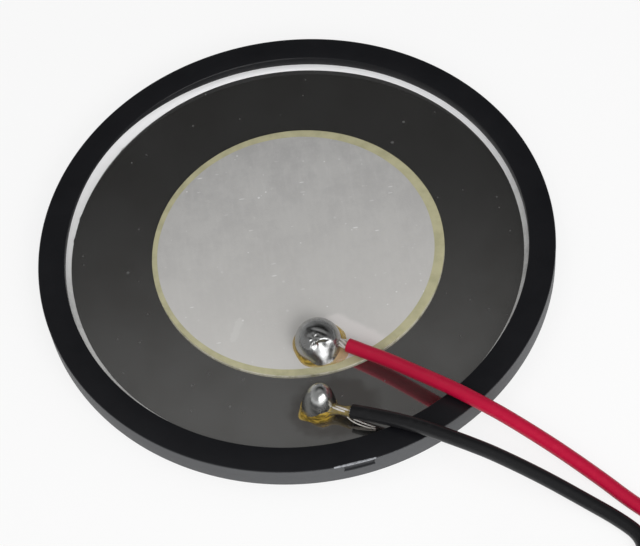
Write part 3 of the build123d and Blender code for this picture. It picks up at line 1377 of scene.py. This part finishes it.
@dataclass
class SolderBead:
    """Bullet of solder on the plate, with a collar of flux and the web of it along the strands."""

    centre: tuple[float, float] = (-0.17, -15.64)
    foot_radius: float = 1.44
    height: float = 3.0
    roundness: float = 1.75
    lean: float = 0.085
    roughness: float = 0.015
    rough_scale: float = 0.9
    rough_offset: Triple = (21.9, 9.3, 17.1)
    steps: int = 128
    rings: int = 40
    sole_gap: float = 0.0006
    rim_gap: float = 0.0008
    collar_near: Hump = Hump(-80, 52)
    collar_left: Hump = Hump(-157, 20)
    collar_reach: float = 0.03
    collar_near_reach: float = 0.1
    collar_left_reach: float = 0.42
    collar_wave: Wave = Wave(0.15, 41, 5)
    collar_rise: float = 0.04
    collar_near_rise: float = 1.12
    collar_left_rise: float = 0.1
    crest_wave: Wave = Wave(0.08, 42, 4)
    collar_film: float = 0.02
    collar_foot: float = 0.03
    collar_curve: float = 2.2
    collar_inside: float = 0.2
    collar_ripple: float = 0.055
    collar_rows: int = 14
    web_start: Triple = (0.75, -16.38, 1.85)
    web_end: Triple = (2.3, -17.14, 2.12)
    web_radius: float = 0.5
    web_rings: int = 18
    web_points: int = 20
    web_waist: float = 0.78
    web_flare: float = 2.0
    web_end_thinner: float = 0.6
    web_sag: float = 1.35
    web_flat: float = 0.8
    web_roughness: float = 0.05
    web_rough_scale: float = 1.7

    def flank(self, rise: float) -> float:
        """Radius of the bead at a height over the plate."""
        return self.foot_radius * math.sqrt(max(0.0, 1 - (rise / self.height) ** self.roundness))

    def section(self, angle: float) -> Section:
        """Section of the bead, from its top to its underside, the same at every angle.

        Args:
            angle: Angle round the joint, in radians. Not used.

        Returns:
            Radius and height of each point.
        """
        rows = []
        for i in range(self.rings + 1):
            rise = self.height * (1 - (i / self.rings) ** 2)
            rows.append((self.flank(rise), PLATE_TOP + max(rise, self.rim_gap)))
        rows += [(self.foot_radius * 0.6, PLATE_TOP + self.sole_gap), (0, PLATE_TOP + self.sole_gap)]
        return rows

    def leaning(self, point: Vector) -> Vector:
        """Lean the bead towards its lead and roughen it a little.

        Args:
            point: A point of the upright bead or collar.

        Returns:
            The moved point.
        """
        lean = Vector((self.lean * (point.z - PLATE_TOP), 0, 0))
        rough = noise.noise_vector(point / self.rough_scale + Vector(self.rough_offset))
        return point + lean + rough * self.roughness

    def collar_section(self, angle: float) -> Section:
        """Section of the flux collar at an angle: high on the near side, wide and low on the left.

        Args:
            angle: Angle round the joint, in radians.

        Returns:
            Radius and height of each point.
        """
        near, left = self.collar_near.at(angle), self.collar_left.at(angle)
        reach = self.collar_reach + self.collar_near_reach * near + self.collar_left_reach * left
        toe = self.foot_radius + reach * (1 + self.collar_wave.at(angle)) + self.collar_film
        rise = self.collar_near_rise * near * (1 + self.crest_wave.at(angle))
        rise += self.collar_rise + self.collar_left_rise * left
        low = PLATE_TOP + self.rim_gap
        rows = [(self.foot_radius - self.collar_inside, low), (toe, low)]
        for i in range(1, self.collar_rows + 1):
            share = i / self.collar_rows
            skin = self.collar_film + (reach + self.collar_foot) * (1 - share) ** self.collar_curve
            skin += self.collar_ripple * near * math.sin(2 * math.pi * min(1.0, share * 1.05)) ** 2
            rows.append((self.flank(rise * share) + skin, PLATE_TOP + HAIR + rise * share))
        rows.append((self.flank(rise) - self.collar_inside, PLATE_TOP + rise))
        return rows

    def web(self) -> bpy.types.Object:
        """Web of flux from the bead to the lead's cut end, round the strands.

        Returns:
            The new object.
        """
        start, end = Vector(self.web_start), Vector(self.web_end)
        along = (end - start).normalized()
        aside = along.cross(Vector((0, 0, 1))).normalized()
        up = aside.cross(along)
        points, faces = [], []
        count, width = self.web_rings, self.web_points
        for i in range(count + 1):
            share = i / count
            flare = self.web_flare * (share - 0.5) ** 2 * (1 - share * self.web_end_thinner)
            radius = self.web_radius * (self.web_waist + flare)
            for j in range(width):
                turn = 2 * math.pi * j / width
                sag = self.web_sag if math.sin(turn) < 0 else self.web_flat
                spoke = aside * math.cos(turn) + up * (sag * math.sin(turn))
                rim = start.lerp(end, share) + spoke * radius
                points.append(rim + noise.noise_vector(rim * self.web_rough_scale) * self.web_roughness)
        for i in range(count):
            for j in range(width):
                k = (j + 1) % width
                faces.append((i * width + j, (i + 1) * width + j, (i + 1) * width + k, i * width + k))
        faces.append(tuple(range(width)))
        faces.append(tuple(range(count * width, (count + 1) * width)))
        return mesh_piece("negative_flux_web", points, faces, 80.0)

    def build(self) -> None:
        """Make the bead, its collar and the web."""
        bead = turned("negative_solder", self.section, self.steps, self.centre, False, self.leaning, 80.0)
        place_piece(bead, Coat.SOLDER, "negative_solder_joint")
        collar = turned(
            "negative_flux_collar", self.collar_section, self.steps, self.centre, True, self.leaning, 80.0
        )
        place_piece(merged(collar, self.web()), Coat.FLUX, "negative_flux")


def smooth_curve(name: str, points: Sequence[Vector], resolution: int) -> bpy.types.Curve:
    """Curve that starts and ends in its control points and runs smoothly by the others.

    Args:
        name: The curve's name.
        points: Control points in millimetres.
        resolution: Points between two control points.

    Returns:
        The curve's data.
    """
    curve = bpy.data.curves.new(name, "CURVE")
    curve.dimensions = "3D"
    spline = curve.splines.new("NURBS")
    spline.points.add(len(points) - 1)
    for point, place in zip(spline.points, points):
        point.co = (*(place * MM), 1.0)
    spline.order_u = min(3, len(points))
    spline.use_endpoint_u = True
    spline.resolution_u = resolution
    return curve


class StrandTree:
    """Geometry Nodes tree that lays strands round a path as a rope maker does."""

    path_points: int = 40
    section_points: int = 12
    lay_share: float = 0.96

    def __init__(self, name: str) -> None:
        """Build the tree.

        Args:
            name: The tree's name.
        """
        self.tree = bpy.data.node_groups.new(name, "GeometryNodeTree")
        face = self.tree.interface
        face.new_socket("Geometry", in_out="INPUT", socket_type="NodeSocketGeometry")
        self.inputs = {}
        for label, kind in (
            ("Strand count", "NodeSocketInt"),
            ("Strand radius", "NodeSocketFloat"),
            ("Lay radius", "NodeSocketFloat"),
            ("Spread", "NodeSocketFloat"),
            ("Turns", "NodeSocketFloat"),
            ("Finish", "NodeSocketMaterial"),
        ):
            self.inputs[label] = face.new_socket(label, in_out="INPUT", socket_type=kind).identifier
        face.new_socket("Geometry", in_out="OUTPUT", socket_type="NodeSocketGeometry")
        self.lay()

    def add(self, kind: str, settings: dict, inputs: dict) -> bpy.types.bpy_prop_collection:
        """Add a node with its settings, then its plain values or links.

        Args:
            kind: The node's type.
            settings: Its own properties.
            inputs: Values or output sockets, by the socket's name or number.

        Returns:
            The node's outputs.
        """
        node = self.tree.nodes.new(kind)
        for name, value in settings.items():
            setattr(node, name, value)
        for key, value in inputs.items():
            if isinstance(value, bpy.types.NodeSocket):
                self.tree.links.new(value, node.inputs[key])
            else:
                node.inputs[key].default_value = value
        return node.outputs

    def math(self, operation: str, *terms: Union[Number, bpy.types.NodeSocket]) -> bpy.types.NodeSocket:
        """Add one Math node and give its output."""
        return self.add("ShaderNodeMath", {"operation": operation}, dict(enumerate(terms)))[0]

    def lay(self) -> None:
        """Repeat the path once for each strand, turn it round the middle and give it a round section."""
        given = self.add("NodeGroupInput", {}, {})
        even = {"Curve": given["Geometry"], "Count": self.path_points}
        path = self.add("GeometryNodeResampleCurve", {}, even)[0]
        repeat = {"Geometry": path, "Amount": given["Strand count"]}
        copies = self.add("GeometryNodeDuplicateElements", {"domain": "SPLINE"}, repeat)
        along = self.add("GeometryNodeSplineParameter", {}, {})["Factor"]
        step = self.math("DIVIDE", 2 * math.pi, given["Strand count"])
        start = self.math("MULTIPLY", copies["Duplicate Index"], step)
        twist = self.math("MULTIPLY", given["Turns"], 2 * math.pi)
        angle = self.math("MULTIPLY_ADD", along, twist, start)
        wider = self.math("MULTIPLY_ADD", along, given["Spread"], given["Lay radius"])
        tangent = self.add("GeometryNodeInputTangent", {}, {})[0]
        normal = self.add("GeometryNodeInputNormal", {}, {})[0]
        turn = {"Vector": normal, "Axis": tangent, "Angle": angle}
        spoke = self.add("ShaderNodeVectorRotate", {"rotation_type": "AXIS_ANGLE"}, turn)[0]
        offset = self.add("ShaderNodeVectorMath", {"operation": "SCALE"}, {0: spoke, "Scale": wider})[0]
        moved = self.add("GeometryNodeSetPosition", {}, {0: copies["Geometry"], "Offset": offset})[0]
        joining = self.tree.nodes.new("GeometryNodeJoinGeometry")
        for curves in (moved, path):
            self.tree.links.new(curves, joining.inputs[0])
        circle = {"Resolution": self.section_points, "Radius": given["Strand radius"]}
        tube = {
            "Curve": joining.outputs[0],
            "Profile Curve": self.add("GeometryNodeCurvePrimitiveCircle", {}, circle)[0],
            "Fill Caps": True,
        }
        skin = self.add("GeometryNodeCurveToMesh", {}, tube)[0]
        smooth = self.add("GeometryNodeSetShadeSmooth", {}, {0: skin})[0]
        real = self.add("GeometryNodeRealizeInstances", {}, {0: smooth})[0]
        coated = self.add("GeometryNodeSetMaterial", {}, {0: real, "Material": given["Finish"]})[0]
        self.add("NodeGroupOutput", {}, {0: coated})

    def rope(
        self,
        name: str,
        path: Sequence[Vector],
        count: int,
        strand: float,
        turns: float,
        spread: float = 0.0,
    ) -> bpy.types.Object:
        """Make one bundle of strands as a plain mesh.

        Args:
            name: The piece's name.
            path: Points of its middle line, in millimetres.
            count: Strands round the middle one.
            strand: A strand's diameter.
            turns: Turns of the lay over the path.
            spread: How far the strands stand further out at the path's end.

        Returns:
            The new object.
        """
        guide = linked(name + "_path", smooth_curve(name + "_path", path, 12))
        modifier = guide.modifiers.new("Strands", "NODES")
        modifier.node_group = self.tree
        values = {
            "Strand count": count,
            "Strand radius": strand / 2 * MM,
            "Lay radius": strand * self.lay_share * MM,
            "Spread": spread * MM,
            "Turns": turns,
            "Finish": Coat.STRAND.value.material(),
        }
        for label, value in values.items():
            modifier[self.inputs[label]] = value
        evaluated = guide.evaluated_get(bpy.context.evaluated_depsgraph_get())
        mesh = bpy.data.meshes.new_from_object(evaluated)
        mesh.name = name
        bpy.data.objects.remove(guide)
        return linked(name, mesh)


class Spin(Enum):
    """Which way a put-away coil turns, seen from above."""

    LEFT = 1
    RIGHT = -1


@dataclass
class Lead:
    """Stranded lead: free stretch from its joint, put-away turns, and both stripped ends."""

    name: str
    coat: Coat
    spin: Spin
    route: Sequence[Triple]
    turns: float
    joint_depth: float
    length: float
    spread: float = 0.2
    diameter: float = 1.2
    outer_strands: int = 6
    joint_strand: float = 0.17
    joint_lay: float = 0.35
    tip_strand: float = 0.15
    tip_lay: float = 0.8
    tip_length: float = 4.5
    overlap: float = 0.1
    outer_turn_radius: float = 7.0
    tail_bend_radius: float = 3.2
    coil_clearance: float = 0.3
    steps_a_turn: int = 16
    tail_steps: int = 3

    def coil_frame(self) -> Matrix:
        """Place of the coil's middle, with the lead arriving along its X at its near side.

        Returns:
            The place as a matrix, in millimetres.
        """
        before, last = (Vector(point) for point in self.route[-2:])
        heading = (last - before).normalized()
        lead_in = math.sqrt(2 * self.outer_turn_radius * self.diameter) + self.coil_clearance
        left = Vector((-heading.y, heading.x, 0)) * self.spin.value
        middle = last + heading * lead_in + left * self.outer_turn_radius
        turn = math.atan2(heading.y, heading.x)
        return Matrix.Translation((middle.x, middle.y, 0)) @ Matrix.Rotation(turn, 4, "Z")

    def coil_points(self) -> list[Vector]:
        """Control points of the turns, which tighten inwards, and of the tail that bends into the hole.

        Returns:
            The points, in millimetres.
        """
        step = 2 * math.pi / self.steps_a_turn
        count = round(self.turns * self.steps_a_turn)
        flat = []
        for i in range(count):
            angle = -math.pi / 2 + (i + 0.5) * step
            radius = self.outer_turn_radius - self.diameter * (i + 0.5) / self.steps_a_turn
            radius /= math.cos(step / 2)
            flat.append(Vector((math.cos(angle), math.sin(angle))) * radius)
        inner = self.outer_turn_radius - self.turns * self.diameter
        end = -math.pi / 2 + count * step
        hub = Vector((math.cos(end), math.sin(end))) * (inner - self.tail_bend_radius)
        bend = math.pi / 2 / self.tail_steps
        for i in range(self.tail_steps):
            angle = end + (i + 0.5) * bend
            radius = self.tail_bend_radius / math.cos(bend / 2)
            flat.append(hub + Vector((math.cos(angle), math.sin(angle))) * radius)
        last = end + math.pi / 2
        flat.append(hub + Vector((math.cos(last), math.sin(last))) * self.tail_bend_radius)
        place = self.coil_frame()
        return [place @ Vector((p.x, self.spin.value * p.y, self.diameter / 2)) for p in flat]

    def build(self, strands: StrandTree) -> None:
        """Make the cord and its stripped ends.

        Args:
            strands: The tree that lays the strands.
        """
        route = [Vector(point) for point in self.route]
        points = route + self.coil_points()
        curve = smooth_curve(self.name, points, 10)
        curve.bevel_depth = self.diameter / 2 * MM
        curve.bevel_resolution = 8
        curve.use_fill_caps = True
        cord = linked(self.name, curve)
        node = self.name.replace("_cord", "")
        colour = node.split("_")[0]
        place_piece(cord, self.coat, node, node + "_coil")
        along = (route[1] - route[0]).normalized()
        path = [route[0] - along * self.joint_depth, route[0] + along * self.overlap]
        count, name = self.outer_strands, colour + "_joint_strands"
        bundle = strands.rope(name, path, count, self.joint_strand, self.joint_lay, self.spread)
        place_piece(bundle, Coat.STRAND, colour + "_strands")
        tip_way = (points[-1] - points[-2]).normalized()
        tip = [points[-1] - tip_way * self.overlap, points[-1] + tip_way * self.tip_length]
        tinned = strands.rope(colour + "_tinned_tip", tip, count, self.tip_strand, self.tip_lay)
        place_piece(tinned, Coat.STRAND, colour + "_tinned_end")
        tuple(route[0] * MM)


@dataclass
class StrayStrands:
    """Two strands of the black lead that missed the joint and bend down to the plate."""

    upper: tuple[Triple, ...] = ((1.95, -17.15, 1.95), (2.12, -17.62, 1.75), (4.02, -18.34, 1.09))
    lower: tuple[Triple, ...] = ((1.95, -17.35, 1.75), (2.35, -18.0, 1.4), (4.05, -18.52, 1.09))
    strand: float = 0.12

    def build(self, strands: StrandTree) -> None:
        """Make both strays in one piece.

        Args:
            strands: The tree that lays the strands.
        """
        made = []
        for i, path in enumerate((self.upper, self.lower)):
            made.append(strands.rope(f"stray_{i}", [Vector(point) for point in path], 0, self.strand, 0))
        strays = merged(*made)
        strays.name = "black_strays"
        place_piece(strays, Coat.STRAND, "black_stray_strands")


class Lamp(NamedTuple):
    """Soft rectangular lamp that points at the object and that shiny surfaces don't show."""

    name: str
    place: Triple
    size: tuple[float, float]
    power: float

    def light(self) -> None:
        """Add the lamp."""
        data = bpy.data.lights.new(self.name, "AREA")
        data.shape = "RECTANGLE"
        data.size, data.size_y = self.size[0] * MM, self.size[1] * MM
        data.energy = self.power
        lamp = linked(self.name, data)
        place = Vector(self.place)
        lamp.location = place * MM
        lamp.rotation_euler = (-place).to_track_quat("-Z", "Y").to_euler()
        lamp.visible_glossy = False


@dataclass
class Studio:
    """Floor, soft lamps, surroundings and the camera at the photograph's viewpoint."""

    distance: float = 172.063
    elevation: float = math.radians(56.30)
    yaw: float = -0.0113744
    pitch: float = -0.0091550
    roll: float = -0.1559495
    lens: float = 112.9
    sensor: float = 36.0
    near_clip: float = 0.005
    far_clip: float = 5.0
    floor_half: float = 600.0
    fill: float = 0.46
    room: float = 0.245
    darkest: float = 0.01
    dark_height: Span = (0.36, 0.70)
    dark_side: Span = (-0.15, 0.25)
    ceiling_height: Span = (0.79, 0.91)
    zenith_height: Span = (0.91, 0.98)
    strip: float = 3.4
    strip_front: Span = (0.30, 0.60)
    strip_height: Span = (0.48, 0.32)
    strip_left: Span = (-0.27, -0.10)
    strip_right: Span = (0.80, 0.60)
    lamps: tuple[Lamp, ...] = (
        Lamp("front_softbox", (55, -140, 120), (140, 90), 0.165),
        Lamp("low_front", (40, -150, 16), (160, 24), 0.08),
        Lamp("overhead_soft", (-120, 120, 320), (220, 220), 0.18),
    )

    def camera(self) -> None:
        """Create the camera."""
        data = bpy.data.cameras.new("camera")
        data.lens = self.lens
        data.sensor_width = self.sensor
        data.clip_start = self.near_clip
        data.clip_end = self.far_clip
        camera = linked("camera", data)
        back = Vector((0, -math.cos(self.elevation), math.sin(self.elevation)))
        right = Vector((1, 0, 0))
        aim = Matrix((right, back.cross(right), back)).transposed()
        aim = aim @ Matrix.Rotation(self.roll, 3, "Z") @ Matrix.Rotation(self.yaw, 3, "Y")
        aim = aim @ Matrix.Rotation(self.pitch, 3, "X")
        camera.matrix_world = Matrix.Translation(back * self.distance * MM) @ aim.to_4x4()
        bpy.context.scene.camera = camera

    def floor(self) -> None:
        """Make the floor."""
        half = self.floor_half
        corners = [Vector((x * half, y * half, TABLE)) for x, y in ((-1, -1), (1, -1), (1, 1), (-1, 1))]
        floor = mesh_piece("floor", corners, [(0, 1, 2, 3)])
        floor.data.materials.append(Coat.FLOOR.value.material())

    def surroundings(self) -> None:
        """Light the world: plain light for matt surfaces, and for shiny ones a grey room.

        The room is dark high up behind the object, paler overhead and on the left, with a bright
        strip low in front of the object.
        """
        world = bpy.data.worlds.new("studio")
        bpy.context.scene.world = world
        world.use_nodes = True
        graph = ShaderGraph(world.node_tree)
        x, y, z = graph.split(graph.node("ShaderNodeTexCoord", {}, {})["Generated"])
        room = self.room - z.between(*self.dark_height) * y.between(*self.dark_side) * self.room
        room = room + z.between(*self.ceiling_height) * 0.15 - z.between(*self.zenith_height) * 0.05
        room = (room - x * 0.1).maximum(self.darkest)
        sides = x.between(*self.strip_left) * x.between(*self.strip_right)
        strip = (0 - y).between(*self.strip_front) * z.between(*self.strip_height) * sides
        rays = graph.node("ShaderNodeLightPath", {}, {})
        mirror = rays["Is Glossy Ray"].maximum(rays["Is Transmission Ray"])
        mirror = mirror * (1 - rays["Diffuse Depth"]).maximum(0)
        level = mirror * (room + strip * self.strip - self.fill) + self.fill
        colour = {"Color": (1, 1, 1, 1), "Strength": level.maximum(rays["Is Camera Ray"])}
        graph.finish(graph.node("ShaderNodeBackground", {}, colour)[0], "ShaderNodeOutputWorld")

    def build(self) -> None:
        """Set the whole studio."""
        self.camera()
        self.floor()
        self.surroundings()
        for lamp in self.lamps:
            lamp.light()
        bpy.context.scene.view_settings.view_transform = "Standard"


RED_ROUTE = (
    (2.99, -10.95, 2.04),
    (4.16, -11.78, 2.10),
    (5.96, -13.10, 2.35),
    (7.70, -14.56, 2.60),
    (9.43, -16.02, 2.90),
    (11.13, -17.43, 3.05),
    (12.82, -18.82, 2.90),
    (14.51, -20.10, 2.50),
    (17.83, -22.87, 1.50),
    (21.02, -26.05, 0.75),
    (22.53, -27.87, 0.6),
    (24.20, -29.65, 0.6),
    (26.60, -31.45, 0.6),
    (30.90, -34.16, 0.6),
)
BLACK_ROUTE = (
    (2.39, -17.21, 2.21),
    (4.14, -18.01, 2.45),
    (6.01, -19.06, 2.85),
    (7.77, -20.10, 3.05),
    (9.51, -21.18, 3.05),
    (11.24, -22.20, 2.90),
    (12.97, -23.18, 2.55),
    (16.38, -25.33, 1.55),
    (19.67, -27.86, 0.75),
    (21.36, -29.32, 0.6),
    (22.95, -31.15, 0.6),
    (22.75, -33.20, 0.6),
    (22.10, -36.00, 0.6),
)


def main() -> None:
    """Build the object's sub-assemblies in order, then the studio."""
    logging.basicConfig(level=logging.INFO, format="%(message)s")
    noise.seed_set(NOISE_SEED)
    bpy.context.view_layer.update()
    strands = StrandTree("stranded_conductor")
    RingAndPlate().build()
    PiezoDisc().build()
    SolderDome().build()
    SolderBead().build()
    Lead("red_lead_cord", Coat.RED, Spin.LEFT, RED_ROUTE, 1.25, 1.5, 95).build(strands)
    Lead("black_lead_cord", Coat.BLACK, Spin.RIGHT, BLACK_ROUTE, 1.5, 2.4, 97, spread=0.05).build(strands)
    StrayStrands().build(strands)
    Studio().build()


if __name__ == "__main__":
    main()
